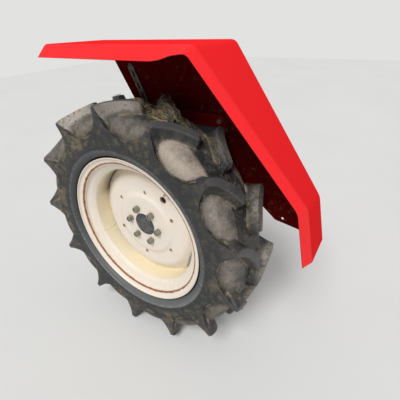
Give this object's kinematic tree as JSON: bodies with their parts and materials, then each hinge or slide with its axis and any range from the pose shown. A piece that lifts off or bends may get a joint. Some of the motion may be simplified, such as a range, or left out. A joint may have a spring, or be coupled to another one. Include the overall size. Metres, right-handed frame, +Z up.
{
  "type": "tractor rear wheel with mudguard on its axle end",
  "caption": "Lugged farm tyre on a dished cream wheel, bolted to its axle shaft in a cast housing end, under a red sheet mudguard with an inner wall.",
  "frame": {"origin": "centre of the axle housing's flange face, where the axle end bolts to the gearbox", "axes": "+X to the tractor's front, +Y inboard along the axle towards the gearbox, +Z up; the wheel is on the outboard side at negative Y"},
  "size_m": [1.235, 0.528, 1.225],
  "materials": {
    "tyre_rubber": "matte, dusty",
    "wheel_paint": "satin cream, rust at the edges",
    "guard_paint": "gloss red",
    "housing_paint": "satin dark grey on cast iron",
    "shaft_steel": "dark oiled steel",
    "zinc": "dull zinc plate",
    "bearing_steel": "ground steel",
    "seal_rubber": "matte",
    "valve_metal": "dull plated brass"
  },
  "bodies": {
    "axle_end": {"axle_housing": "housing_paint", "outer_bearing": "bearing_steel", "inner_bearing": "bearing_steel", "seal_retainer": "housing_paint", "oil_seal": "seal_rubber", "mudguard_band": "guard_paint", "mudguard_wall": "guard_paint", "mudguard_rail": "guard_paint", "mudguard_stay": "zinc", "mudguard_bracket": "housing_paint", "rail_bolt_1": "zinc", "rail_bolt_2": "zinc", "rail_bolt_3": "zinc", "pad_bolt_1": "zinc", "pad_bolt_2": "zinc", "pad_bolt_3": "zinc", "pad_bolt_4": "zinc"},
    "wheel": {"axle_shaft": "shaft_steel", "rim": "wheel_paint", "wheel_disc": "wheel_paint", "tyre": "tyre_rubber", "valve_stem": "valve_metal", "valve_cap": "valve_metal", "stud_1": "zinc", "stud_2": "zinc", "stud_3": "zinc", "stud_4": "zinc", "stud_5": "zinc", "stud_6": "zinc", "nut_1": "zinc", "nut_2": "zinc", "nut_3": "zinc", "nut_4": "zinc", "nut_5": "zinc", "nut_6": "zinc"}
  },
  "joints": [
    {"name": "wheel_spin", "type": "hinge", "parent": "axle_end", "child": "wheel", "pos_m": [0, 0, 0], "axis": [0, 1, 0], "continuous": true}
  ]
}
